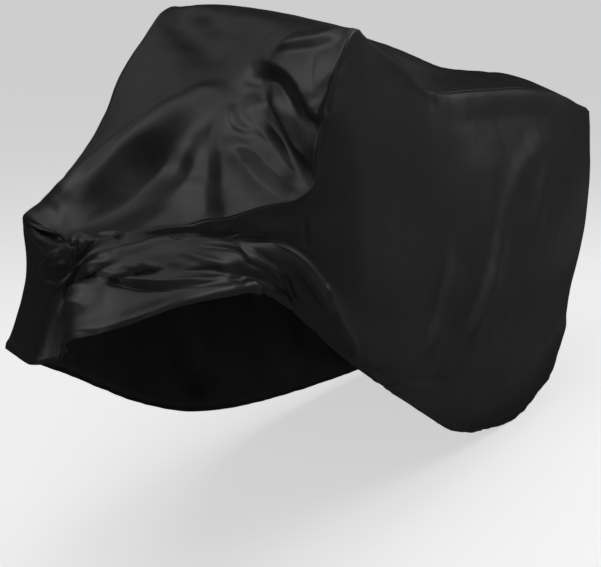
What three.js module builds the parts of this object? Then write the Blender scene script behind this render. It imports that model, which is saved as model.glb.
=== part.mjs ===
// A fitted motorcycle cover of thin coated polyester, in the shape it takes over a machine on its
// side stand: tented from the handlebar down to the nose, drawn over the seat, hanging to its
// elasticated hem, and hitched up into a double swag over the front wheel on the left side.
//
// The cover is sewn from three cut panels, each one closed solid:
//   centre_panel      the strip that runs from the front hem over nose, bar and seat to the rear hem
//   left_side_panel   the side that hangs to the left of the machine, with the hitched-up front
//   right_side_panel  the side that hangs to the right
//
// Units are millimetres, +Z up. In the tables x runs rearwards from the front axle, y is negative on
// the machine's left and z is the height above the lowest hem. The group at the end moves the middle
// of the cover's length over the origin.
import * as THREE from "three";

// ---------------------------------------------------------------- driving dimensions
const CLOTH = 2; // thickness of the cloth
const HEM = 3; // thickness of the turned hem with its elastic
const SEAM_GAP = 0.3; // clearance between two panels at their seam
const MID_LENGTH = 790; // x of the middle of the cover, above the origin
const SPAN_STEPS = 3; // samples from each station to the next, nose to tail
const STEPS_ACROSS = 9; // samples across the centre panel
const WALL_STEPS = 7; // samples from a seam down to the waist
const SWAG_STEPS = 11; // samples from the waist to the hem
const FRONT_SWELL = 12; // how far the front of the centre panel stands ahead of its seams
const FRONT_CURL = 24; // the same where it rolls over next to the swag
const FRONT_SAG = 10; // how far the middle of the front hem hangs below its ends
const REAR_SWELL = 95; // how far the rear of the centre panel stands behind its seams

const UP = new THREE.Vector3(0, 0, 1);
const point = (x, y, z) => new THREE.Vector3(x, y, z);
const lerp = (a, b, t) => a.clone().lerp(b, t);

// ---------------------------------------------------------------- tables
// The top of the cover, one row for each station from nose to tail. `left` and `right` are the
// seams, `mid` is the middle of the strip, and `lift` raises the cloth halfway to each seam.
const TOP = [
  { at: "nose edge", left: [-335, -110, 836], mid: [-280, 15, 838], right: [-215, 145, 838], lift: [0, 0] },
  { at: "nose", left: [-265, -130, 838], mid: [-210, 30, 872], right: [-155, 150, 865], lift: [2, 2] },
  { at: "mudguard", left: [-180, -150, 838], mid: [-120, 30, 915], right: [-75, 175, 900], lift: [2, 4] },
  { at: "headstock", left: [-65, -210, 838], mid: [0, 20, 975], right: [60, 222, 962], lift: [6, 8] },
  { at: "fork", left: [20, -290, 867], mid: [90, 0, 1030], right: [165, 266, 1018], lift: [20, 10] },
  { at: "lamp", left: [98, -367, 897], mid: [195, -20, 1090], right: [260, 308, 1090], lift: [48, 5] },
  { at: "bar drop", left: [118, -378, 1050], mid: [320, 0, 1180], right: [400, 345, 1180], lift: [40, 5] },
  { at: "bar", left: [205, -388, 1215], mid: [425, 0, 1252], right: [538, 363, 1254], lift: [4, 8] },
  { at: "tank", left: [392, -330, 1184], mid: [640, -5, 1210], right: [720, 325, 1190], lift: [0, 8] },
  { at: "tank end", left: [628, -270, 1118], mid: [870, -10, 1172], right: [930, 265, 1110], lift: [6, 8] },
  { at: "seat", left: [900, -210, 1031], mid: [1100, -10, 1124], right: [1150, 215, 1040], lift: [0, 6] },
  { at: "seat end", left: [1190, -205, 1010], mid: [1350, -5, 1062], right: [1360, 205, 1010], lift: [4, 6] },
  { at: "pillion", left: [1506, -205, 992], mid: [1600, 0, 1034], right: [1600, 205, 990], lift: [4, 6] },
  { at: "rack", left: [1770, -225, 955], mid: [1850, 0, 1005], right: [1830, 215, 955], lift: [8, 8] },
  { at: "tail", left: [1970, -250, 888], mid: [2015, 0, 930], right: [1995, 240, 890], lift: [14, 14] },
];

// The left side, one row for each station of TOP. The wall hangs from the seam to `crest`: halfway
// it stands `bulge` proud and swings `sweep` rearwards, and behind the crest it sinks by `dip` and is
// tucked in by `tuck`. Below it are the two swags, the upper one `puff` and the lower one `low` proud of
// the line from crest to hem, with a fold `pinch` deep between them at `split`, the share of the way
// from crest to hem. Where `pinch` is minus `puff` there is one smooth swag. A `split` left out is a
// half, a `low` left out is as `puff`, and any other column is zero.
const LEFT = [
  { crest: [-335, -105, 780], hem: [-365, -80, 602] },
  { dip: 14, crest: [-320, -172, 826], puff: 14, split: 0.22, pinch: 2, low: 6, hem: [-440, -205, 680] },
  { dip: 24, crest: [-248, -198, 834], puff: 20, split: 0.42, pinch: 2, low: 10, hem: [-395, -280, 712] },
  { dip: 18, crest: [-124, -245, 826], puff: 20, split: 0.58, pinch: 2, low: 10, hem: [-245, -320, 730] },
  { crest: [12, -294, 799], tuck: 8, puff: 18, split: 0.72, pinch: 2, low: 8, hem: [-50, -315, 710] },
  { sweep: 10, crest: [82, -345, 745], tuck: 8, puff: 12, split: 0.65, pinch: 4, hem: [70, -290, 662] },
  { bulge: 6, sweep: 60, crest: [148, -383, 624], tuck: 10, puff: 8, pinch: 10, hem: [175, -280, 598] },
  { bulge: 10, sweep: 40, crest: [222, -393, 526], tuck: 5, puff: 6, pinch: 8, hem: [235, -320, 525] },
  { bulge: 14, sweep: 10, crest: [300, -400, 462], tuck: 2, puff: 3, pinch: 4, hem: [300, -350, 460] },
  { bulge: 20, crest: [440, -400, 425], puff: 4, pinch: -4, hem: [460, -368, 347] },
  { bulge: 30, crest: [610, -396, 385], puff: 6, pinch: -6, hem: [690, -348, 208] },
  { bulge: 40, crest: [800, -392, 325], puff: 10, pinch: -10, hem: [870, -330, 110] },
  { bulge: 50, crest: [1020, -386, 260], puff: 14, pinch: -14, hem: [1095, -318, 40] },
  { bulge: 50, crest: [1270, -380, 220], puff: 14, pinch: -14, hem: [1340, -312, 2] },
  { bulge: 25, crest: [1730, -302, 245], puff: 12, pinch: -12, hem: [1605, -293, 38] },
];

// The right side, one row for each station of TOP: a wall from the seam to the hem that stands
// `bulge` proud halfway, with `waist` the share of the drop that lies above its lower rows.
const RIGHT = [
  { waist: 0.15, bulge: -18, hem: [-330, 110, 585] },
  { waist: 0.2, bulge: -5, hem: [-250, 175, 540] },
  { waist: 0.3, bulge: 15, hem: [-140, 225, 480] },
  { waist: 0.4, bulge: 30, hem: [-10, 260, 410] },
  { waist: 0.5, bulge: 35, hem: [120, 285, 335] },
  { waist: 0.55, bulge: 40, hem: [240, 300, 265] },
  { waist: 0.6, bulge: 45, hem: [370, 310, 200] },
  { waist: 0.6, bulge: 45, hem: [520, 320, 140] },
  { waist: 0.65, bulge: 50, hem: [690, 325, 95] },
  { waist: 0.65, bulge: 60, hem: [870, 325, 65] },
  { waist: 0.7, bulge: 80, hem: [1050, 320, 45] },
  { waist: 0.7, bulge: 90, hem: [1230, 315, 30] },
  { waist: 0.75, bulge: 90, hem: [1390, 310, 20] },
  { waist: 0.8, bulge: 80, hem: [1530, 300, 20] },
  { waist: 0.8, bulge: 50, hem: [1660, 280, 45] },
];

// The main folds of each panel: a trough (height below zero) or a ridge along a straight line.
// `reach` is how far it spreads to either side, at its first and at its last end.
const FOLDS = {
  centre: [
    { name: "lamp to nose", from: [175, 0, 1072], to: [-150, 80, 890], reach: [45, 85], height: 22 },
    { name: "below that", from: [45, -115, 1027], to: [-255, -45, 865], reach: [50, 85], height: -16 },
    { name: "lamp to wing", from: [70, -110, 1040], to: [-50, -190, 852], reach: [45, 60], height: 12 },
    { name: "right grip", from: [455, 290, 1235], to: [290, 40, 1155], reach: [70, 80], height: -14 },
    { name: "upper drag", from: [205, -170, 1125], to: [112, -345, 940], reach: [60, 50], height: -14 },
    { name: "lower drag", from: [85, -200, 975], to: [88, -315, 912], reach: [60, 50], height: -10 },
  ],
  left: [
    { name: "short fold", from: [600, -355, 720], to: [440, -395, 385], reach: [70, 60], height: 14 },
    { name: "middle fold", from: [1080, -320, 790], to: [720, -390, 330], reach: [80, 90], height: 16 },
    { name: "rear fold", from: [1520, -270, 840], to: [880, -370, 330], reach: [70, 100], height: 14 },
    { name: "swag end", from: [520, -395, 365], to: [760, -385, 350], reach: [60, 80], height: -14 },
  ],
  right: [
    { name: "front fold", from: [420, 340, 1000], to: [560, 350, 240], reach: [80, 110], height: 18 },
    { name: "middle fold", from: [900, 290, 900], to: [1010, 370, 180], reach: [80, 120], height: -18 },
    { name: "rear fold", from: [1500, 240, 860], to: [1330, 370, 150], reach: [80, 120], height: 18 },
  ],
};

// ---------------------------------------------------------------- curves and grids
// `count` points spaced evenly in the parameter of a smooth curve through the control points.
function through(points, count) {
  const curve = new THREE.CatmullRomCurve3(points, false, "catmullrom", 0.5);
  return Array.from({ length: count }, (_, i) => curve.getPoint(i / (count - 1)));
}

// A grid of points from one column of control points for each station, smooth from nose to tail.
function loft(columns) {
  const count = (TOP.length - 1) * SPAN_STEPS + 1;
  const lines = columns[0].map((_, k) => through(columns.map((column) => column[k]), count));
  return lines[0].map((_, i) => lines.map((line) => line[i]));
}

// The level direction that faces out of a side, square to the line through the neighbours of point i.
function outward(line, i, facing) {
  const run = line[Math.min(i + 1, line.length - 1)].clone().sub(line[Math.max(i - 1, 0)]);
  return point(-run.y, run.x, 0).normalize().multiplyScalar(facing);
}

// ---------------------------------------------------------------- side panels
// One column of the left side: the wall, then the upper swag, the fold and the lower swag.
function leftColumn(row, seam, out) {
  const { bulge = 0, sweep = 0, dip = 0, tuck = 0, puff = 0, pinch = 0, low = puff, split = 0.5 } = row;
  const crest = point(...row.crest);
  const hem = point(...row.hem);
  const wall = ({ down, proud, swing, sink }) =>
    lerp(seam, crest, down).addScaledVector(out, proud).add(point(swing * sweep, 0, -sink * dip));
  const swag = (down, proud) => lerp(crest, hem, down).addScaledVector(out, proud);
  const below = (share) => split + (1 - split) * share;
  return {
    wall: [
      seam,
      wall({ down: 0.3, proud: bulge, swing: 1, sink: 0.8 }),
      wall({ down: 0.65, proud: bulge, swing: 0.8, sink: 1 }),
      wall({ down: 0.92, proud: -tuck, swing: 0.2, sink: 0.7 }),
    ],
    swag: [
      crest,
      swag(0.4 * split, puff),
      swag(0.75 * split, 0.74 * puff - 0.26 * pinch),
      swag(split, -pinch),
      swag(below(0.22), 0.54 * low - 0.46 * pinch),
      swag(below(0.62), low),
      hem,
    ],
  };
}

// One column of the right side: a plain hanging wall.
function rightColumn(row, seam, out) {
  const hem = point(...row.hem);
  const on = (t) => lerp(seam, hem, t).addScaledVector(out, row.bulge * Math.sin(Math.PI * t));
  const below = (share) => row.waist + (1 - row.waist) * share;
  return {
    wall: [0, 1, 2, 3].map((k) => on((row.waist * k) / 4)),
    swag: [0, 1, 2, 3, 4, 5, 6].map((k) => on(below(k / 6))),
  };
}

// Samples a column: WALL_STEPS from seam to waist and SWAG_STEPS from there to the hem, each evenly.
function hang({ wall, swag }) {
  const curve = new THREE.CatmullRomCurve3([...wall, ...swag], false, "centripetal");
  const lengths = curve.getLengths(20 * (curve.points.length - 1));
  const waist = lengths[20 * wall.length] / lengths.at(-1);
  const upper = Array.from({ length: WALL_STEPS }, (_, i) => (waist * i) / WALL_STEPS);
  const lower = Array.from({ length: SWAG_STEPS + 1 }, (_, i) => waist + ((1 - waist) * i) / SWAG_STEPS);
  return [...upper, ...lower].map((u) => curve.getPointAt(u));
}

// A side panel's grid: one line of points from seam to hem at each step from nose to tail.
function side(table, seamName, column, facing) {
  const seam = TOP.map((row) => point(...row[seamName]));
  const hem = table.map((row) => point(...row.hem));
  return loft(table.map((row, i) => hang(column(row, seam[i], outward(hem, i, facing)))));
}

// ---------------------------------------------------------------- centre panel
// Its grid: lines across the strip up the front, over the top and down the rear. The ends of each
// line are the very points of the side panels' edges.
function centre(left, right) {
  const last = left.length - 1;
  const depth = left[0].length - 1;
  const between = (a, b, line) => [a, ...line.slice(1, -1), b];
  const down = (i, curl, reach, sag) =>
    left[i].map((a, k) => {
      const b = right[i][k];
      const share = Math.min(1, (4 * k) / depth);
      const on = (t, swell) => lerp(a, b, t).add(point(swell * share, 0, (-sag * k) / depth));
      return between(a, b, through([a, on(0.3, curl), on(0.62, reach), b], STEPS_ACROSS));
    });
  const across = TOP.map((row) => {
    const [a, c, b] = [row.left, row.mid, row.right].map((p) => point(...p));
    const raise = (p, q, lift) => lerp(p, q, 0.5).addScaledVector(UP, lift);
    return through([a, raise(a, c, row.lift[0]), c, raise(c, b, row.lift[1]), b], STEPS_ACROSS);
  });
  const top = loft(across).map((line, i) => between(left[i][0], right[i][0], line));
  const front = down(0, -FRONT_CURL, -FRONT_SWELL, FRONT_SAG).reverse();
  const rear = down(last, REAR_SWELL, REAR_SWELL, 0);
  return [...front.slice(0, -1), ...top, ...rear.slice(1)];
}

// ---------------------------------------------------------------- sheets
const clamp = (value, top) => Math.max(0, Math.min(top, value));
const grids = { left: side(LEFT, "left", leftColumn, -1), right: side(RIGHT, "right", rightColumn, 1) };
grids.centre = centre(grids.left, grids.right);

// The point of a grid at row i and column j, or the nearest one on its edge.
const at = (grid, i, j) => grid[clamp(i, grid.length - 1)][clamp(j, grid[0].length - 1)];

// Which way round each grid runs, so that its normals face out.
const FACING = { left: -1, right: 1, centre: 1 };

// The cloth's outward normal at each point. A point on a seam is in two grids and gets their mean.
function normals(facing) {
  const found = new Map();
  for (const [name, grid] of Object.entries(grids)) {
    grid.forEach((line, i) =>
      line.forEach((p, j) => {
        const along = at(grid, i + 1, j).clone().sub(at(grid, i - 1, j));
        const across = at(grid, i, j + 1).clone().sub(at(grid, i, j - 1));
        const normal = along.cross(across).normalize().multiplyScalar(facing[name]);
        found.set(p, (found.get(p) ?? point(0, 0, 0)).add(normal));
      }),
    );
  }
  found.forEach((normal) => normal.normalize());
  return found;
}

// Which edges of a panel are seams, each with the step that leads into the panel.
const SEAMS = {
  side: [
    { on: (i, j) => j === 0, into: [0, 1] },
    { on: (i) => i === 0, into: [1, 0] },
    { on: (i) => i === grids.left.length - 1, into: [-1, 0] },
  ],
  centre: [
    { on: (i, j) => j === 0, into: [0, 1] },
    { on: (i, j) => j === STEPS_ACROSS - 1, into: [0, -1] },
  ],
};

// Draws a seam point into its panel by half the gap, square to the seam and to the normal.
function inset(grid, i, j, normal, seams) {
  const p = grid[i][j];
  const moved = p.clone();
  for (const { on, into } of seams) {
    if (!on(i, j)) continue;
    const [di, dj] = into;
    const inward = at(grid, i + di, j + dj).clone().sub(p);
    const run = at(grid, i + dj, j + di).clone().sub(at(grid, i - dj, j - di));
    const square = run.cross(normal).normalize();
    moved.addScaledVector(square, (Math.sign(square.dot(inward)) * SEAM_GAP) / 2);
  }
  return moved;
}

// A closed sheet: the grid set off to both sides by half the thickness, and a rim round it.
function sheet(grid, normal, seams, half, flip) {
  const rows = grid.length;
  const columns = grid[0].length;
  const positions = [];
  for (const sign of [1, -1]) {
    grid.forEach((line, i) =>
      line.forEach((p, j) => {
        const n = normal.get(p);
        positions.push(...inset(grid, i, j, n, seams).addScaledVector(n, sign * half(i, j)).toArray());
      }),
    );
  }
  const outer = (i, j) => i * columns + j;
  const inner = (i, j) => rows * columns + outer(i, j);
  const index = [];
  const quad = (a, b, c, d) => index.push(...(flip ? [a, c, b, a, d, c] : [a, b, c, a, c, d]));
  for (let i = 0; i < rows - 1; i += 1) {
    for (let j = 0; j < columns - 1; j += 1) {
      quad(outer(i, j), outer(i + 1, j), outer(i + 1, j + 1), outer(i, j + 1));
      quad(inner(i, j), inner(i, j + 1), inner(i + 1, j + 1), inner(i + 1, j));
    }
  }
  const rim = [];
  for (let i = 0; i < rows - 1; i += 1) rim.push([i, 0]);
  for (let j = 0; j < columns - 1; j += 1) rim.push([rows - 1, j]);
  for (let i = rows - 1; i > 0; i -= 1) rim.push([i, columns - 1]);
  for (let j = columns - 1; j > 0; j -= 1) rim.push([0, j]);
  rim.forEach((here, k) => {
    const next = rim[(k + 1) % rim.length];
    quad(outer(...here), inner(...here), inner(...next), outer(...next));
  });
  return new THREE.BufferGeometry()
    .setAttribute("position", new THREE.Float32BufferAttribute(positions, 3))
    .setIndex(index);
}

// Sets the points of each folded panel off along their normals.
function fold() {
  const normal = normals(FACING);
  const press = (p, { from, to, reach, height }) => {
    const line = new THREE.Line3(point(...from), point(...to));
    const t = line.closestPointToPointParameter(p, true);
    const share = p.distanceTo(line.at(t, point(0, 0, 0))) / THREE.MathUtils.lerp(...reach, t);
    if (share < 1) p.addScaledVector(normal.get(p), height * (1 - share ** 2) ** 2);
  };
  for (const [name, folds] of Object.entries(FOLDS)) {
    for (const one of folds) grids[name].flat().forEach((p) => press(p, one));
  }
}

// ---------------------------------------------------------------- the cover
fold();
const cloth = () => new THREE.MeshStandardMaterial({ color: 0x1c1c1e, roughness: 0.5, metalness: 0 });
const normal = normals(FACING);
const depth = WALL_STEPS + SWAG_STEPS;
const atSideHem = (i, j) => (j === depth ? HEM : CLOTH) / 2;
const atCentreHem = (i) => (i === 0 || i === grids.centre.length - 1 ? HEM : CLOTH) / 2;

function panel(name, grid, seams, half, flip) {
  const mesh = new THREE.Mesh(sheet(grid, normal, seams, half, flip), cloth());
  mesh.name = name;
  return mesh;
}

const cover = new THREE.Group();
cover.add(
  panel("left_side_panel", grids.left, SEAMS.side, atSideHem, true),
  panel("right_side_panel", grids.right, SEAMS.side, atSideHem, false),
  panel("centre_panel", grids.centre, SEAMS.centre, atCentreHem, false),
);
cover.position.x = -MID_LENGTH;

export default cover;
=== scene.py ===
"""A fitted motorcycle cover of thin black coated polyester, as it hangs over a machine that stands on
its side stand with its bar turned.

Each cut panel is a thin sheet on the skin of its solid. The skin's grid is read back from the solid,
sampled finely and joined along the seams. The creases, the gathered hem and the small crumples are
then pressed into the joined cloth, which is last cut into its panels again and given its thickness.

The tables are in millimetres: x runs rearwards from the front axle, y is negative on the machine's
left and z is the height above the lowest hem. Everything else is in metres, in the frame's own axes.
"""

import math

import bmesh
import bpy
import numpy as np
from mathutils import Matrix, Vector, noise


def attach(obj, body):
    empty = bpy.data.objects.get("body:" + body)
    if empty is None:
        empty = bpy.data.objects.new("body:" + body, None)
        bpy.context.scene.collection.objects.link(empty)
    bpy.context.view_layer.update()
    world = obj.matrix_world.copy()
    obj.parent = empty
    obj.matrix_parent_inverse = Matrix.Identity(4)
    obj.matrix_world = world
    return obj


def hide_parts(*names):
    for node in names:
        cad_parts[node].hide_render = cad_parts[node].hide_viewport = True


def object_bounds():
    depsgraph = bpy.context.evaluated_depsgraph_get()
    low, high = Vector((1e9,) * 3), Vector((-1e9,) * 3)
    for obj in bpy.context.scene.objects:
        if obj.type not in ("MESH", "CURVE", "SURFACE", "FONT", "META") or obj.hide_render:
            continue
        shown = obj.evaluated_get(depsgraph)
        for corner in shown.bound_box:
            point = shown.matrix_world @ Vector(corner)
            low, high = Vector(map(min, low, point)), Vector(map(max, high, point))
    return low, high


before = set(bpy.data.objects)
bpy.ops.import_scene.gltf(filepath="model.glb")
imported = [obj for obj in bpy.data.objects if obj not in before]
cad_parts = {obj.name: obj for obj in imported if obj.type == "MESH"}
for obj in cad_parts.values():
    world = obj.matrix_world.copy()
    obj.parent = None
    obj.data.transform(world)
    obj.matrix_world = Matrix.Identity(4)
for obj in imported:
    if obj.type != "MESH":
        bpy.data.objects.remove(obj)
cad_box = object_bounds()

# ---------------------------------------------------------------- sizes
MM = 0.001
MID_LENGTH = 790  # table x of the middle of the cover's length, over the frame's origin
RIM = (0.002, 0.003)  # thickness of the solids at their seams and at their hems
RIM_TOLERANCE = 0.00002
SAME_PLACE = 0.00001  # points nearer than this are one point
CLOTH = 0.0012  # thickness of the cloth that shows
FAR = 9.0  # further than any two points of the cover are apart
TINY = 0.000000001  # the least length that anything is divided by

# The solids' grids: how many lines there are, from nose to tail on a side and from front hem to rear
# hem on the centre, and how many points each line has.
SIDE_LINES = 43
SIDE_POINTS = 19
CENTRE_POINTS = 9
CENTRE_LINES = 2 * (SIDE_POINTS - 1) + SIDE_LINES
FLANK_LINE = 12  # the line behind which the near flank hangs smoothly
FLANK_PASSES = 4  # how many times its swells are evened out

# Fine steps between one line or point of those grids and the next.
ALONG_STEPS = [10] * 24 + [9] * 18
DOWN_STEPS = [12, 8, 7, 7, 7, 8, 10] + [4] * 10 + [9]
ACROSS_STEPS = [13, 12, 11, 10, 8, 8, 8, 8]


def place(points):
    """Table points, in millimetres, as places in the frame."""
    return (np.array(points, float) - [MID_LENGTH, 0, 0]) * MM


# ---------------------------------------------------------------- camera
CAMERA_AT = (-1955, -1721, 1333)
CAMERA_TURN = 56  # degrees from looking along +Y, towards the rear of the machine
CAMERA_DIP = 14.4  # degrees below level
LENS = 71.9
SENSOR = 36


def add_camera():
    """The view from in front of the cover's near side, from a little above it."""
    dip = math.radians(90 - CAMERA_DIP)
    turn = -math.radians(CAMERA_TURN)
    bpy.ops.object.camera_add(location=place(CAMERA_AT), rotation=(dip, 0, turn))
    camera = bpy.context.object
    camera.data.lens = LENS
    camera.data.sensor_width = SENSOR
    bpy.context.scene.camera = camera


add_camera()

# ---------------------------------------------------------------- the solids' skins


def third(face, *pair):
    """The corner of a triangle that isn't in the pair."""
    return next(v for v in face.verts if v not in pair)


def edge_between(a, b):
    """The edge that joins two points, if there is one."""
    return next((e for e in a.link_edges if e.other_vert(a) is b), None)


def next_line(line, first, seen):
    """The line of points beside `line`, from its first point on, across one row of split squares."""
    found = [first]
    for a, b in zip(line, line[1:]):
        beside = [third(f, a, b) for f in edge_between(a, b).link_faces]
        corner = next(v for v in beside if v not in seen)
        if corner is found[-1]:
            diagonal = edge_between(b, corner)
            corner = next(v for v in (third(f, b, corner) for f in diagonal.link_faces) if v is not a)
        found.append(corner)
    return found


def border_run(start, step, stops):
    """The border points from a corner on through `step` to the next corner."""
    run = [start, step]
    while run[-1] not in stops:
        onward = [e.other_vert(run[-1]) for e in run[-1].link_edges if e.is_boundary]
        run.append(next(v for v in onward if v is not run[-2]))
    return run


def inner_skin(solid):
    """The faces that look towards the cover's middle, once the two skins are apart."""
    middle = Vector((0, 0, (cad_box[0].z + cad_box[1].z) / 2))
    inner = set()
    todo = set(solid.faces)
    while todo:
        skin = set()
        growing = [todo.pop()]
        while growing:
            face = growing.pop()
            skin.add(face)
            beside = {f for e in face.edges for f in e.link_faces} & todo
            todo -= beside
            growing.extend(beside)
        if sum(f.normal.dot(f.calc_center_median() - middle) * f.calc_area() for f in skin) < 0:
            inner |= skin
    return list(inner)


def skin_grid(node, lines, points):
    """The outer skin of a sheet's solid as a grid of places, `lines` lines of `points` points."""
    solid = bmesh.new()
    solid.from_mesh(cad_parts[node].data)
    bmesh.ops.remove_doubles(solid, verts=solid.verts, dist=SAME_PLACE)
    rim = [e for e in solid.edges if any(abs(e.calc_length() - r) < RIM_TOLERANCE for r in RIM)]
    bmesh.ops.delete(solid, geom=list({f for e in rim for f in e.link_faces}), context="FACES_ONLY")
    bmesh.ops.delete(solid, geom=[e for e in solid.edges if not e.link_faces], context="EDGES")
    bmesh.ops.delete(solid, geom=inner_skin(solid), context="FACES")
    corners = {v for v in solid.verts if v.is_boundary and len(v.link_faces) < 3}
    start = next(iter(sorted(corners, key=lambda v: v.co.to_tuple())))
    steps = [e.other_vert(start) for e in start.link_edges if e.is_boundary]
    runs = [border_run(start, step, corners) for step in steps]
    line = next(run for run in runs if len(run) == points)
    side = next(run for run in runs if len(run) == lines)
    grid = [line]
    seen = set(line)
    for first in side[1:]:
        grid.append(next_line(grid[-1], first, seen))
        seen.update(grid[-1])
    places = np.array([[v.co[:] for v in line] for line in grid])
    solid.free()
    return places


def side_grid(node):
    """A side's lines in order from nose to tail, each from its seam down to its hem."""
    grid = skin_grid(node, SIDE_LINES, SIDE_POINTS)
    if grid[0, :, 0].mean() > grid[-1, :, 0].mean():
        grid = grid[::-1]
    if grid[:, 0, 2].mean() < grid[:, -1, 2].mean():
        grid = grid[:, ::-1]
    return grid


def centre_grid(node):
    """The centre's lines in order from front hem to rear hem, each from left seam to right seam."""
    grid = skin_grid(node, CENTRE_LINES, CENTRE_POINTS)
    if grid[0, :, 0].mean() > grid[-1, :, 0].mean():
        grid = grid[::-1]
    if grid[:, 0, 1].mean() > grid[:, -1, 1].mean():
        grid = grid[:, ::-1]
    return grid


# ---------------------------------------------------------------- fine sampling
def stops(steps):
    """Where the fine samples fall, in lines of the solids' grid."""
    found = [line + np.arange(count) / count for line, count in enumerate(steps)]
    return np.concatenate(found + [[len(steps)]])


def spline(lines, at):
    """A stack of lines sampled along its first axis at the given stops.

    The curve is a centripetal Catmull-Rom spline, which passes through every line without loops.
    """
    ends = [2 * lines[:1] - lines[1:2], lines, 2 * lines[-1:] - lines[-2:-1]]
    padded = np.concatenate(ends)
    k = np.minimum(at.astype(int), len(lines) - 2)
    t = (at - k).reshape(-1, 1, 1)
    p0, p1, p2, p3 = (padded[k + n] for n in range(4))
    d1, d2, d3 = (
        np.sqrt(np.maximum(np.linalg.norm(b - a, axis=-1, keepdims=True), TINY))
        for a, b in ((p0, p1), (p1, p2), (p2, p3))
    )
    m1 = d2 * ((p1 - p0) / d1 - (p2 - p0) / (d1 + d2) + (p2 - p1) / d2)
    m2 = d2 * ((p2 - p1) / d2 - (p3 - p1) / (d2 + d3) + (p3 - p2) / d3)
    return (
        (2 * t**3 - 3 * t**2 + 1) * p1
        + (t**3 - 2 * t**2 + t) * m1
        + (3 * t**2 - 2 * t**3) * p2
        + (t**3 - t**2) * m2
    )


def fine(grid, lines_at, points_at):
    """The grid sampled finely both ways."""
    across = spline(grid, lines_at).transpose(1, 0, 2)
    return spline(across, points_at).transpose(1, 0, 2)


def calm_flank(grid):
    """The grid with the swells of its flank evened out from nose to tail, its borders kept."""
    calmed = grid.copy()
    for _ in range(FLANK_PASSES):
        inside = calmed[FLANK_LINE:-1, 1:-1]
        beside = (calmed[FLANK_LINE - 1 : -2, 1:-1] + calmed[FLANK_LINE + 1 :, 1:-1]) / 2
        calmed[FLANK_LINE:-1, 1:-1] = (inside + beside) / 2
    return calmed


ALONG = stops(ALONG_STEPS)
DOWN = stops(DOWN_STEPS)
FRONT_DEPTH = SIDE_POINTS - 1
OVER = np.concatenate(
    [FRONT_DEPTH - DOWN[:0:-1], FRONT_DEPTH + ALONG, FRONT_DEPTH + SIDE_LINES - 1 + DOWN[1:]]
)
grids = {
    "left_side_panel": fine(calm_flank(side_grid("left_side_panel")), ALONG, DOWN),
    "right_side_panel": fine(side_grid("right_side_panel"), ALONG, DOWN),
    "centre_panel": fine(centre_grid("centre_panel"), OVER, stops(ACROSS_STEPS)),
}
PANELS = list(grids)
SIDES = ("left_side_panel", "right_side_panel")


# ---------------------------------------------------------------- the joined cloth
def border_of_centre(side):
    """The points of a side panel that the centre panel's border shares, from front hem to rear hem."""
    return np.concatenate([side[0, :0:-1], side[:, 0], side[-1, 1:]])


def numbering():
    """The number of each grid point in the joined cloth, where seam points are shared."""
    shape = grids["left_side_panel"].shape[:2]
    count = shape[0] * shape[1]
    left = np.arange(count).reshape(shape)
    right = left + count
    lines, points = grids["centre_panel"].shape[:2]
    inner = 2 * count + np.arange(lines * (points - 2)).reshape(lines, points - 2)
    borders = [border_of_centre(side)[:, None] for side in (left, right)]
    centre = np.concatenate([borders[0], inner, borders[1]], axis=1)
    return {"left_side_panel": left, "right_side_panel": right, "centre_panel": centre}


def squares(ids, flip):
    """The squares of a grid of point numbers, walked the other way round if flipped."""
    a, b, c, d = ids[:-1, :-1], ids[1:, :-1], ids[1:, 1:], ids[:-1, 1:]
    order = (a, d, c, b) if flip else (a, b, c, d)
    return np.stack([x.ravel() for x in order], axis=1)


def lengths(grid, axis):
    """How far along its line each grid point lies."""
    step = np.linalg.norm(np.diff(grid, axis=axis), axis=-1)
    start = np.zeros_like(np.take(step, [0], axis=axis))
    return np.concatenate([start, np.cumsum(step, axis=axis)], axis=axis)


def to_either_end(length, axis):
    """The shorter way to the two ends of each line."""
    return np.minimum(length, np.take(length, [-1], axis=axis) - length)


def per_point(values):
    """One number for each point of the joined cloth, the smallest that its panels give."""
    found = np.full(total, FAR)
    for name, value in values.items():
        np.minimum.at(found, number[name].ravel(), value.ravel())
    return found


number = numbering()
total = max(ids.max() for ids in number.values()) + 1
cloth = np.zeros((total, 3))
# where two panels share a point, the later one gives its place
for name in ("centre_panel", "right_side_panel", "left_side_panel"):
    cloth[number[name]] = grids[name]

faces = {name: squares(number[name], flip=name == "left_side_panel") for name in PANELS}
along = {name: lengths(grids[name], 0) for name in PANELS}
down = {name: lengths(grids[name], 1) for name in PANELS}

to_hem = per_point(
    {name: down[name][:, -1:] - down[name] for name in SIDES}
    | {"centre_panel": to_either_end(along["centre_panel"], 0)}
)
to_seam = per_point(
    {name: np.minimum(down[name], to_either_end(along[name], 0)) for name in SIDES}
    | {"centre_panel": to_either_end(down["centre_panel"], 1)}
)


def normals_of(points):
    """The outward normal at each point of the joined cloth."""
    found = np.zeros_like(points)
    for quads in faces.values():
        a, b, c, d = (points[quads[:, k]] for k in range(4))
        across = np.cross(c - a, d - b)
        for k in range(4):
            np.add.at(found, quads[:, k], across)
    return found / np.maximum(np.linalg.norm(found, axis=1, keepdims=True), TINY)


# ---------------------------------------------------------------- folds and creases
def fold(path, left, right, height, crisp=0.5, ends=(0, 0), flare=(1, 1)):
    """A ridge (height above zero) or a trough along a path on the cloth.

    `left` and `right` are how far it spreads to either side of the path, as it is walked with the
    cloth's outer side up, and `flare` scales them at the path's two ends. `crisp` is how sharp the
    crest is, from 0 for a rounded one to 2 for one that hangs like a tent's, and `ends` is how much
    of the height is left at the two ends.
    """
    reach = (left, right)
    return {"path": path, "reach": reach, "height": height, "crisp": crisp, "ends": ends, "flare": flare}


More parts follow.
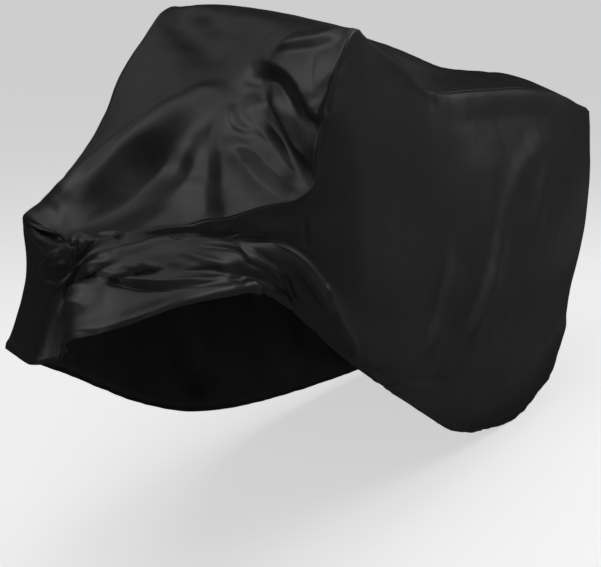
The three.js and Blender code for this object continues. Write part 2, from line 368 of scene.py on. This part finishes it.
# The crest from the lamp to the nose, which carries a broad fold and a narrow one.
NOSE_CREST = [
    (150, -20, 1080), (70, 20, 1015), (-30, 30, 970),
    (-120, 35, 920), (-190, 60, 880), (-215, 95, 855),
]

FOLDS = {
    "hood": [
        # the broad fold from the lamp to the nose, and the valley below it
        fold(NOSE_CREST, 200, 130, 22, crisp=0.5, ends=(0.5, 0.8), flare=(0.5, 0.8)),
        fold(NOSE_CREST, 90, 130, 4, crisp=0.5, ends=(0.3, 0.5), flare=(0.5, 0.8)),
        fold(
            [
                (60, -65, 1000), (5, -55, 960), (-55, -50, 920),
                (-110, -50, 895), (-170, -40, 875), (-235, -10, 855),
            ],
            130, 200, -29, crisp=0.6, ends=(0.3, 1), flare=(0.55, 0.9),
        ),
        # the fold straight down from the lamp to the low edge
        fold(
            [
                (115, -85, 1035), (85, -110, 1005), (45, -135, 970),
                (10, -160, 930), (-25, -180, 895), (-55, -205, 860),
            ],
            40, 120, 11, crisp=0.8, ends=(0.1, 0.7), flare=(0.4, 1.1),
        ),
        # the pleats that are drawn together at the corner over the swag, from the top one down
        fold(
            [
                (250, -160, 1140), (215, -245, 1125), (180, -305, 1100),
                (155, -345, 1070), (140, -370, 1055),
            ],
            110, 36, 28, crisp=0.9, ends=(0.3, 0.2),
        ),
        fold(
            [(215, -170, 1120), (180, -240, 1080), (150, -290, 1040), (135, -325, 990)],
            24, 44, 8, crisp=0.2, ends=(0.2, 0.3),
        ),
        fold(
            [
                (160, -190, 1055), (175, -240, 1060), (170, -290, 1045),
                (155, -335, 1000), (125, -365, 945),
            ],
            80, 60, 34, crisp=0.7, ends=(0.3, 0.3), flare=(0.8, 0.8),
        ),
        fold(
            [(145, -175, 1035), (125, -240, 985), (115, -290, 945), (105, -340, 920)],
            30, 40, 11, crisp=0.8, ends=(0.2, 0.3),
        ),
        fold(
            [
                (60, -160, 975), (85, -190, 980), (95, -230, 960),
                (95, -255, 935), (90, -305, 910), (90, -345, 895),
            ],
            50, 50, 15, crisp=0.8, ends=(0.2, 0.4), flare=(0.8, 0.8),
        ),
        # small curls where the pleats start
        fold(
            [(160, -110, 1060), (120, -155, 1020), (115, -185, 1010), (130, -205, 1015)],
            14, 18, 5, crisp=0.4,
        ),
        fold([(210, -110, 1110), (205, -180, 1105)], 22, 22, -4),
        # under the top of the bar end
        fold(
            [(235, -180, 1165), (220, -265, 1190), (215, -325, 1205), (225, -375, 1225)],
            60, 36, 17, crisp=1, ends=(0, 0.2), flare=(0.6, 1),
        ),
        fold(
            [(190, -320, 1160), (170, -330, 1130), (145, -350, 1095)],
            14, 8, -3, crisp=0.8, ends=(0.5, 0.3),
        ),
        fold(
            [(145, -340, 1070), (130, -360, 1050), (120, -380, 1060)],
            50, 12, 12, crisp=0.8, ends=(0.3, 0.3),
        ),
        # the seam edge from the bar end down to the corner
        fold(
            [
                (220, -375, 1205), (140, -385, 1110), (125, -380, 1045),
                (110, -370, 950), (110, -365, 930),
            ],
            9, 11, -5, crisp=0.8, ends=(0.3, 0.3),
        ),
        # the soft hollow over the far grip
        fold(
            [(505, 345, 1245), (410, 200, 1200), (315, 60, 1155)],
            70, 60, -5, crisp=0.2, ends=(0.5, 0),
        ),
        # the small roll under the hood's low edge
        fold([(-180, -150, 835), (-120, -180, 835), (-70, -220, 835)], 9, 12, 5, crisp=0.7),
        fold(
            [(-215, -185, 830), (-130, -225, 830), (-50, -260, 825), (30, -310, 815)],
            30, 24, -12, crisp=0.3,
        ),
        fold([(95, -355, 835), (100, -350, 770)], 9, 9, -5, crisp=0.7, ends=(0.5, 0)),
    ],
    "nose": [
        fold(
            [(-225, 130, 830), (-300, -35, 830), (-330, -100, 835)],
            12, 10, -4, crisp=0.8, ends=(0.3, 0.8),
        ),
        fold(
            [(-230, 125, 810), (-305, -35, 810), (-330, -90, 820)],
            20, 45, 10, crisp=0.5, ends=(0.2, 0.6),
        ),
        # the cloth rolled over at the swag's front end
        fold(
            [
                (-335, -110, 830), (-330, -75, 810), (-325, -35, 790),
                (-305, 20, 745), (-290, 60, 710), (-305, 60, 675),
            ],
            34, 20, 18, crisp=0.7, ends=(0.5, 0.3),
        ),
        fold([(-315, 0, 765), (-335, -60, 785), (-335, -105, 800)], 14, 14, 8, crisp=0.6),
        fold([(-320, -5, 750), (-340, -55, 745), (-335, -100, 775)], 12, 16, 9, crisp=0.6),
        # the deep crease between that roll and the swag
        fold(
            [
                (-335, -180, 815), (-340, -145, 800), (-335, -105, 770),
                (-340, -90, 740), (-350, -75, 700),
            ],
            10, 12, -12, crisp=0.6, ends=(0.3, 0.1),
        ),
        # peaks over the swag's front end
        fold(
            [(-330, -110, 835), (-295, -90, 840), (-260, -70, 840)],
            34, 34, 16, crisp=0.4, ends=(0.5, 0),
        ),
        fold([(-260, -80, 840), (-245, -120, 840), (-235, -150, 835)], 10, 16, 8, crisp=0.7),
    ],
    "swag": [
        # its upper edge
        fold(
            [
                (-305, -195, 830), (-260, -205, 830), (-210, -215, 835),
                (-135, -255, 825), (-50, -285, 805),
            ],
            14, 22, 6, crisp=0.6, ends=(0.3, 0.4),
        ),
        fold(
            [(-50, -285, 805), (50, -315, 785), (95, -345, 750), (150, -375, 675)],
            12, 26, 8, crisp=0.6, ends=(0.5, 0.6),
        ),
        fold(
            [(150, -375, 675), (190, -390, 580), (320, -375, 450), (405, -370, 385)],
            18, 15, 8, crisp=0.7, ends=(0.6, 0),
        ),
        # the upper swag's full front, and the crease between the two swags
        fold(
            [
                (-350, -170, 790), (-335, -225, 775), (-290, -270, 760),
                (-215, -300, 750), (-140, -310, 745),
            ],
            60, 7, 14, crisp=0.5, ends=(0.4, 0.3),
        ),
        fold(
            [
                (-355, -160, 775), (-350, -210, 780), (-305, -265, 765),
                (-205, -305, 755), (-65, -315, 735),
            ],
            9, 14, -6, crisp=0.9, ends=(0.3, 0.6),
        ),
        # the crease under the edge, down to where the cloth is bunched
        fold(
            [(-175, -260, 815), (-75, -295, 800), (-55, -315, 770), (-15, -320, 750), (45, -310, 710)],
            7, 9, -7, crisp=0.9, ends=(0, 0.5),
        ),
        # small creases of the upper swag
        fold(
            [(-345, -205, 790), (-320, -225, 795), (-300, -240, 785), (-285, -245, 800)],
            7, 8, -3, crisp=0.8,
        ),
        fold([(-300, -215, 815), (-285, -245, 800), (-240, -270, 785)], 12, 12, 4, crisp=0.8),
        fold([(-220, -245, 820), (-175, -285, 800), (-80, -310, 750)], 16, 16, 4, crisp=0.6),
        # the lower swag's puckered front end
        fold(
            [(-350, -150, 775), (-370, -155, 745), (-390, -170, 720), (-415, -190, 695)],
            70, 55, 30, crisp=0.2, ends=(0.3, 0.7),
        ),
        fold([(-360, -115, 710), (-405, -220, 735)], 12, 14, 4, crisp=0.6),
        fold([(-350, -90, 685), (-415, -190, 710)], 12, 14, -4, crisp=0.6),
        fold(
            [(-330, -300, 720), (-240, -320, 730), (-120, -320, 720), (-55, -315, 715)],
            60, 20, 9, crisp=0.3,
        ),
        # the bunched cloth, and the parallel folds drawn back from it
        fold([(-65, -320, 730), (-25, -315, 705)], 22, 22, 12, crisp=0.4, ends=(0.6, 0.6)),
        fold(
            [(-40, -300, 795), (35, -325, 745), (90, -315, 680), (155, -285, 615)],
            12, 12, -9, crisp=0.8, ends=(0.2, 0.4),
        ),
        fold(
            [(-10, -310, 785), (60, -335, 735), (150, -355, 625), (235, -370, 520), (350, -365, 425)],
            13, 13, -10, crisp=0.8, ends=(0.2, 0.3),
        ),
    ],
    "left side": [
        # along the seam from the bar end and over the seat
        fold(
            [(390, -335, 1180), (630, -275, 1110), (890, -215, 1025)],
            16, 34, 8, crisp=0.9, ends=(0.3, 1),
        ),
        fold(
            [(890, -220, 1020), (1190, -215, 1000), (1500, -215, 980), (1750, -235, 940)],
            30, 80, 13, crisp=0.1, ends=(0.5, 0),
        ),
        fold(
            [(345, -385, 410), (395, -370, 390), (450, -390, 370), (625, -380, 325), (700, -390, 310)],
            22, 26, 10, crisp=0.7,
        ),
        # three soft folds that hang from the seat down towards the front
        fold(
            [(720, -345, 685), (750, -360, 615), (705, -370, 540), (625, -380, 455), (535, -395, 405)],
            90, 50, 17, crisp=0.3, ends=(0, 0.2),
        ),
        fold(
            [(1590, -270, 870), (1250, -315, 760), (1125, -340, 685), (1025, -365, 595)],
            60, 60, 6, crisp=0.3, ends=(0, 1),
        ),
        fold(
            [(1025, -365, 595), (950, -380, 510), (875, -385, 445), (785, -390, 375)],
            90, 50, 18, crisp=0.3, ends=(0.35, 0.2),
        ),
        fold([(1535, -305, 795), (1375, -340, 690), (1250, -370, 565)], 60, 50, 5, crisp=0.3),
    ],
    "right side": [
        fold([(560, 290, 900), (600, 340, 620), (520, 360, 380)], 60, 60, 8, crisp=0.3),
        fold([(980, 270, 900), (900, 350, 600), (800, 370, 330)], 50, 50, 8, crisp=0.4),
        fold([(1400, 260, 900), (1240, 330, 640), (1100, 360, 330)], 50, 50, 8, crisp=0.4),
        fold([(120, 300, 980), (60, 330, 800), (40, 320, 560)], 60, 60, 9, crisp=0.4),
    ],
    "rear": [
        fold([(1880, -90, 850), (1950, -110, 560), (1960, -120, 250)], 45, 45, 8, crisp=0.4),
        fold([(1880, 90, 850), (1950, 80, 560), (1960, 100, 250)], 45, 45, 8, crisp=0.4),
    ],
}
PATH_SAMPLES = 24
PATH_MARGIN = 0.05  # how far beyond a fold's reach its points are looked for
END_SHARE = 0.3  # the share of a path over which its height comes up from either end
FACING_ALIKE = 0.4  # a point whose normal agrees less than this with the path's moves less
ROUND_FOOT = 0.2  # the share of a sharp fold's reach where its side meets the cloth


def fold_profile(share, crisp):
    """The height of a fold at a share of its reach.

    With crisp at 0 its back is rounded, at 1 its sides are straight, and at 2 they hang like a tent's.
    """
    share = np.clip(share, 0, 1)
    rounded = (1 - share**2) ** 2
    foot = (1 - share) ** 2 / (2 * ROUND_FOOT)
    sharp = np.where(share < 1 - ROUND_FOOT, 1 - ROUND_FOOT / 2 - share, foot) / (1 - ROUND_FOOT / 2)
    hanging = (1 - share) ** 2
    return rounded + min(crisp, 1) * (sharp - rounded) + max(crisp - 1, 0) * (hanging - sharp)


def ease(x):
    """From 0 to 1, slowly at both ends."""
    x = np.clip(x, 0, 1)
    return x * x * (3 - 2 * x)


def on_cloth(line, points, normal):
    """The samples of a path, brought onto the cloth along its normals, and those normals."""
    gap = line[:, None] - points
    nearest = np.linalg.norm(gap, axis=2).argmin(1)
    outward = normal[nearest]
    above = np.einsum("ki,ki->k", gap[np.arange(len(line)), nearest], outward)
    return line - above[:, None] * outward, outward


def beside_path(points, normal, line, line_normal):
    """How points of the cloth lie beside a path.

    Gives the distance of each one, how far along the path it is, from 0 to 1, how far to the left,
    from -1 to 1, and how well its normal agrees with the path's.
    """
    run = np.diff(line, axis=0)
    length = np.linalg.norm(run, axis=1)
    part = np.clip(np.einsum("pki,ki->pk", points[:, None] - line[:-1], run) / length**2, 0, 1)
    away = points[:, None] - (line[:-1] + part[..., None] * run)
    facing = np.einsum("pi,ki->pk", normal, line_normal[:-1])
    distance = np.where(facing > 0, np.linalg.norm(away, axis=2), FAR)
    piece = distance.argmin(1)
    each = np.arange(len(points))
    away, distance, part, facing = (x[each, piece] for x in (away, distance, part, facing))
    passed = np.concatenate([[0], np.cumsum(length)])[piece]
    gone = (passed + part * length[piece]) / length.sum()
    leftward = np.cross(normal, run[piece] / length[piece, None])
    leftward /= np.maximum(np.linalg.norm(leftward, axis=1, keepdims=True), TINY)
    aside = np.einsum("pi,pi->p", away, leftward) / np.maximum(distance, TINY)
    return distance, gone, np.clip(aside, -1, 1), facing


def press(points, normal, row):
    """Moves the points near a fold's path."""
    path = place(row["path"])[:, None, :]
    line = spline(path, np.linspace(0, len(path) - 1, PATH_SAMPLES))[:, 0]
    reach = np.array(row["reach"]) * MM
    spread = reach.max() * max(row["flare"]) + PATH_MARGIN
    near = np.flatnonzero(((points > line.min(0) - spread) & (points < line.max(0) + spread)).all(1))
    here, outward = points[near], normal[near]
    distance, gone, aside, facing = beside_path(here, outward, *on_cloth(line, here, outward))
    across = reach[1] + (reach[0] - reach[1]) * (1 + aside) / 2
    wide = row["flare"][0] + (row["flare"][1] - row["flare"][0]) * gone
    share = distance / (across * wide)
    first, last = row["ends"]
    strength = first + (1 - first) * ease(gone / END_SHARE)
    strength *= last + (1 - last) * ease((1 - gone) / END_SHARE)
    strength *= ease(facing / FACING_ALIKE)
    raised = fold_profile(share, row["crisp"]) * strength * (share < 1)
    points[near] += raised[:, None] * (row["height"] * MM * outward)


def press_folds(points):
    """Presses every fold of the table into the joined cloth."""
    normal = normals_of(points)
    for rows in FOLDS.values():
        for row in rows:
            press(points, normal, row)


# ---------------------------------------------------------------- gathered hem and small crumples
HEM_BAND = 0.035  # how far above the hem its ripples are down to about a third
HEM_RIPPLES = {0.045: 0.004, 0.022: 0.0015}  # height of the ripples of each size
HEM_TUNNEL = (0.012, 0.0025)  # how far above the hem the tunnel is fullest, and its height there
SEAM_LAP = (0.009, 0.0008)  # how wide and how high the cloth stands along a seam
CRUMPLE = 0.0016  # height of the broad crumples
CRUMPLE_SIZE = 0.09
SMALL_CRUMPLE = 0.4  # height of the small ones, as a share of that
SMALL_CRUMPLE_SIZE = CRUMPLE_SIZE / 2.5
CRUMPLE_SHIFT = 5  # how far apart in the noise the two are read


def noise_at(points, size):
    """Smooth noise of a given size at each point."""
    return np.array([noise.noise(Vector(p) / size) for p in points])


def hem_below():
    """For each point of the joined cloth, the hem point that it hangs over."""
    found = np.zeros((total, 3))
    centre = grids["centre_panel"]
    half = len(centre) // 2
    found[number["centre_panel"][:half]] = centre[:1]
    found[number["centre_panel"][half:]] = centre[-1:]
    for name in SIDES:
        found[number[name]] = grids[name][:, -1:]
    return found


def gather_hem(points):
    """The elastic draws the hem into small uneven ripples, which fade within a hand's breadth."""
    near = np.flatnonzero(to_hem < 3 * HEM_BAND)
    over_hem = hem_below()[near]
    wave = sum(height * noise_at(over_hem, size) for size, height in HEM_RIPPLES.items())
    strength = np.exp(-to_hem[near] / HEM_BAND)
    points[near] += (wave * strength)[:, None] * normals_of(points)[near]


def stitch_edges(points):
    """The hem stands proud where its tunnel holds the elastic, and the cloth is double along a seam."""
    tunnel = HEM_TUNNEL[1] * np.exp(-(((to_hem - HEM_TUNNEL[0]) / HEM_TUNNEL[0]) ** 2) * 2)
    lap = SEAM_LAP[1] * np.exp(-((to_seam / SEAM_LAP[0]) ** 2))
    points += (tunnel + lap)[:, None] * normals_of(points)


def crumple(points):
    """Shallow unevenness all over the cloth, at two sizes that don't line up."""
    height = CRUMPLE * noise_at(points, CRUMPLE_SIZE)
    height += SMALL_CRUMPLE * CRUMPLE * noise_at(points + CRUMPLE_SHIFT, SMALL_CRUMPLE_SIZE)
    points += height[:, None] * normals_of(points)


# ---------------------------------------------------------------- material
WEAVE = 0.0012  # from one thread to the next
THREAD = 0.0004  # half the width of a row of stitches
SEAM_ROWS = (0.005, 0.011)  # from the seam to its two rows of stitches
HEM_ROW = 0.022  # from the hem to the row that closes its tunnel
STITCH_TURN = 2100  # radians of the stitches' wave to the metre, so that one stitch takes 3 mm
STITCH_GAP = -0.4  # where the wave is below this, there is no thread
HEIGHTS = {"threads": 0.00004, "crinkle": 0.0006, "stitches": 0.0004}  # of the finest relief
BUMP_STRENGTH = 0.6
SHADES = (0.0075, 0.0105)  # darkest and lightest of the black coating
# painted shade and light: the crinkle's own height scales the colour, darker in its hollows and lighter on
# its crests
CRINKLE_PAINTED_SHADE = (0.9, 1.1)  # by how much the crinkle changes them
STITCH_SHADE = 0.006  # how much lighter the stitches are
BLUE_CAST = 1.05  # blue, as a share of red and green
ROUGHNESS = (0.37, 0.43)
STITCH_ROUGHNESS = 0.25  # how much rougher the stitches are
# how fine each kind of unevenness is, and how many finer ones it carries
GRAIN = {"crinkle": (70, 3), "blotches": (5, 3), "wear": (9, 2)}


class Nodes:
    """Adds nodes to a tree, joined as they are made."""

    def __init__(self, tree):
        self.tree = tree

    def add(self, kind, **settings):
        """A new node with its settings."""
        node = self.tree.nodes.new(kind)
        for name, value in settings.items():
            setattr(node, name, value)
        return node

    def join(self, value, socket):
        """Links a socket to another one, or sets it to a plain value."""
        if isinstance(value, bpy.types.NodeSocket):
            self.tree.links.new(value, socket)
        else:
            socket.default_value = value

    def math(self, operation, *values):
        """The output of a math node on these values."""
        node = self.add("ShaderNodeMath", operation=operation)
        for value, socket in zip(values, node.inputs):
            self.join(value, socket)
        return node.outputs[0]

    def between(self, value, low, high):
        """A noise value from 0.3 to 0.7 brought to the range from low to high."""
        node = self.add("ShaderNodeMapRange")
        for setting, socket in zip((value, 0.3, 0.7, low, high), node.inputs):
            self.join(setting, socket)
        return node.outputs[0]

    def noise(self, coordinates, scale, detail):
        """The output of a noise texture."""
        node = self.add("ShaderNodeTexNoise")
        self.join(coordinates, node.inputs["Vector"])
        node.inputs["Scale"].default_value = scale
        node.inputs["Detail"].default_value = detail
        return node.outputs[0]

    def row(self, distance, where):
        """1 on a line at a given distance, and 0 off it."""
        off = self.math("ABSOLUTE", self.math("SUBTRACT", distance, where))
        return self.math("LESS_THAN", off, THREAD)


def weave_group():
    """Threads, stitches and slight unevenness of coated polyester, from places in metres, with shade
    painted into the crinkle's hollows and light onto its crests.
    """
    group = bpy.data.node_groups.new("woven_polyester", "ShaderNodeTree")
    for name in ("Cut", "Place"):
        group.interface.new_socket(name, in_out="INPUT", socket_type="NodeSocketVector")
    for name in ("To Seam", "To Hem"):
        group.interface.new_socket(name, in_out="INPUT", socket_type="NodeSocketFloat")
    group.interface.new_socket("Color", in_out="OUTPUT", socket_type="NodeSocketColor")
    group.interface.new_socket("Roughness", in_out="OUTPUT", socket_type="NodeSocketFloat")
    group.interface.new_socket("Normal", in_out="OUTPUT", socket_type="NodeSocketVector")
    nodes = Nodes(group)
    given = nodes.add("NodeGroupInput").outputs
    made = nodes.add("NodeGroupOutput").inputs
    cut = nodes.add("ShaderNodeSeparateXYZ")
    nodes.join(given["Cut"], cut.inputs[0])

    turns = [nodes.math("MULTIPLY", cut.outputs[k], 2 * math.pi / WEAVE) for k in (0, 1)]
    threads = nodes.math("MULTIPLY", *[nodes.math("SINE", turn) for turn in turns])
    crinkle = nodes.noise(given["Place"], *GRAIN["crinkle"])
    seam_rows = nodes.math("MAXIMUM", *[nodes.row(given["To Seam"], where) for where in SEAM_ROWS])
    rows = nodes.math("MAXIMUM", seam_rows, nodes.row(given["To Hem"], HEM_ROW))
    sewn = nodes.math("ADD", cut.outputs[0], cut.outputs[1])
    dashes = nodes.math("SINE", nodes.math("MULTIPLY", sewn, STITCH_TURN))
    stitches = nodes.math("MULTIPLY", rows, nodes.math("GREATER_THAN", dashes, STITCH_GAP))

    height = nodes.math("MULTIPLY", threads, HEIGHTS["threads"])
    height = nodes.math("ADD", height, nodes.math("MULTIPLY", crinkle, HEIGHTS["crinkle"]))
    height = nodes.math("ADD", height, nodes.math("MULTIPLY", stitches, HEIGHTS["stitches"]))
    bump = nodes.add("ShaderNodeBump")
    bump.inputs["Distance"].default_value = 1
    bump.inputs["Strength"].default_value = BUMP_STRENGTH
    nodes.join(height, bump.inputs["Height"])
    nodes.join(bump.outputs[0], made["Normal"])

    blotches = nodes.noise(given["Place"], *GRAIN["blotches"])
    # the colour follows the crinkle's height: painted shade in its hollows, painted light on its crests
    shade = nodes.math("MULTIPLY", nodes.between(blotches, *SHADES), nodes.between(crinkle, *CRINKLE_PAINTED_SHADE))
    shade = nodes.math("ADD", shade, nodes.math("MULTIPLY", stitches, STITCH_SHADE))
    color = nodes.add("ShaderNodeCombineColor")
    nodes.join(shade, color.inputs[0])
    nodes.join(shade, color.inputs[1])
    nodes.join(nodes.math("MULTIPLY", shade, BLUE_CAST), color.inputs[2])
    nodes.join(color.outputs[0], made["Color"])

    rough = nodes.between(nodes.noise(given["Place"], *GRAIN["wear"]), *ROUGHNESS)
    rough = nodes.math("ADD", rough, nodes.math("MULTIPLY", stitches, STITCH_ROUGHNESS))
    nodes.join(rough, made["Roughness"])
    return group


def cloth_material():
    """Coated black polyester with a soft sheen."""
    material = bpy.data.materials.new("coated_polyester")
    material.use_nodes = True
    tree = material.node_tree
    nodes = Nodes(tree)
    shader = tree.nodes["Principled BSDF"]
    weave = nodes.add("ShaderNodeGroup", node_tree=weave_group())
    nodes.join(nodes.add("ShaderNodeUVMap", uv_map="cut").outputs[0], weave.inputs["Cut"])
    nodes.join(nodes.add("ShaderNodeTexCoord").outputs["Object"], weave.inputs["Place"])
    for name in ("To Seam", "To Hem"):
        attribute = nodes.add("ShaderNodeAttribute", attribute_name=name.lower().replace(" ", "_"))
        nodes.join(attribute.outputs["Fac"], weave.inputs[name])
    nodes.join(weave.outputs["Color"], shader.inputs["Base Color"])
    nodes.join(weave.outputs["Roughness"], shader.inputs["Roughness"])
    nodes.join(weave.outputs["Normal"], shader.inputs["Normal"])
    shader.inputs["IOR"].default_value = 1.5
    return material


coated = cloth_material()


def add_cut(mesh, name, ids):
    """The panel's UV map in metres, and each point's distance from the seam and from the hem."""
    grid = number[name]
    cut = np.zeros((total, 2))
    cut[grid] = np.stack([along[name], down[name]], axis=2)
    corners = np.zeros(len(mesh.loops), int)
    mesh.loops.foreach_get("vertex_index", corners)
    mesh.uv_layers.new(name="cut").data.foreach_set("uv", cut[ids][corners].ravel())
    for title, values in {"to_seam": to_seam, "to_hem": to_hem}.items():
        mesh.attributes.new(title, "FLOAT", "POINT").data.foreach_set("value", values[ids])


def make_panel(name, points):
    """One cut panel of the joined cloth, with its thickness on the inside."""
    ids = np.unique(number[name])
    renumber = np.zeros(total, int)
    renumber[ids] = np.arange(len(ids))
    mesh = bpy.data.meshes.new(name + "_cloth")
    mesh.from_pydata(points[ids].tolist(), [], renumber[faces[name]].tolist())
    panel = bpy.data.objects.new(name + "_cloth", mesh)
    bpy.context.scene.collection.objects.link(panel)
    mesh.materials.append(coated)
    add_cut(mesh, name, ids)
    mesh.polygons.foreach_set("use_smooth", [True] * len(mesh.polygons))
    bpy.ops.object.select_all(action="DESELECT")
    panel.select_set(True)
    bpy.context.view_layer.objects.active = panel
    thick = panel.modifiers.new("thickness", "SOLIDIFY")
    thick.thickness = CLOTH
    thick.offset = -1
    bpy.ops.object.modifier_apply(modifier=thick.name)
    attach(panel, "root")
    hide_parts(name)
    return panel


press_folds(cloth)
gather_hem(cloth)
stitch_edges(cloth)
crumple(cloth)
for panel_name in PANELS:
    make_panel(panel_name, cloth)


# ---------------------------------------------------------------- floor and light
FLOOR_SIZE = 400
FLOOR_GREY = 0.85
FLOOR_GLOW = 0.6  # keeps the floor pale away from the lights
STUDIO_GREY = 0.02
SOFT_BOXES = [
    # place over the middle of the cover, and the point it faces, in metres; size and power
    {"name": "overhead front", "at": (-1.9, 0, 3.4), "to": (-1.9, 0, 0), "size": (1.5, 1.8), "power": 15},
    {"name": "overhead rear", "at": (0.5, 0, 3.4), "to": (0.5, 0, 0), "size": (3.3, 1.8), "power": 14},
    {"name": "front far", "at": (-1.6, 1.8, 3.4), "to": (-0.8, 0, 1.1), "size": (1.6, 1.2), "power": 12.5},
    {"name": "front", "at": (-5.5, 0.4, 2), "to": (-1, 0, 0.8), "size": (3, 2.4), "power": 30},
    {"name": "far", "at": (0.5, 3.2, 3.3), "to": (-0.5, 0, 1.1), "size": (2, 2), "power": 3},
    {"name": "near", "at": (2.1, -2.4, 3.2), "to": (-0.9, -0.3, 0.8), "size": (2.2, 2.4), "power": 35},
    {"name": "rear", "at": (4, -1.5, 3.4), "to": (0.3, -0.2, 0.9), "size": (2.6, 1.4), "power": 8},
    {"name": "rear fill", "at": (5.5, -1.8, 0.6), "to": (0, -0.3, 0.6), "size": (5, 2.8), "power": 2},
    {"name": "floor bounce", "at": (2.6, -2.9, 0.02), "to": (2.6, -2.9, 2), "size": (7, 5), "power": 6},
    {"name": "near fill", "at": (0.8, -6, 1.5), "to": (0.8, 0, 0.8), "size": (13.6, 2.4), "power": 26},
]


def add_floor():
    """A plain pale floor that the cloth doesn't mirror."""
    bpy.ops.mesh.primitive_plane_add(size=FLOOR_SIZE)
    floor = bpy.context.object
    floor.name = "floor"
    material = bpy.data.materials.new("pale_floor")
    material.use_nodes = True
    shader = material.node_tree.nodes["Principled BSDF"]
    shader.inputs["Base Color"].default_value = (*[FLOOR_GREY] * 3, 1)
    shader.inputs["Roughness"].default_value = 0.9
    shader.inputs["Emission Color"].default_value = (1, 1, 1, 1)
    shader.inputs["Emission Strength"].default_value = FLOOR_GLOW
    floor.data.materials.append(material)
    floor.visible_glossy = False


def add_lights():
    """Large soft boxes over and around the cover, none of them seen, in a nearly dark room."""
    world = bpy.data.worlds.new("studio")
    bpy.context.scene.world = world
    world.use_nodes = True
    world.node_tree.nodes["Background"].inputs["Color"].default_value = (*[STUDIO_GREY] * 3, 1)
    for box in SOFT_BOXES:
        facing = Vector(box["to"]) - Vector(box["at"])
        turn = facing.to_track_quat("-Z", "Y").to_euler()
        bpy.ops.object.light_add(type="AREA", location=box["at"], rotation=turn)
        light = bpy.context.object
        light.name = box["name"]
        light.data.shape = "RECTANGLE"
        light.data.size, light.data.size_y = box["size"]
        light.data.energy = box["power"]
        light.visible_camera = False


add_floor()
add_lights()
bpy.context.scene.view_settings.view_transform = "Standard"
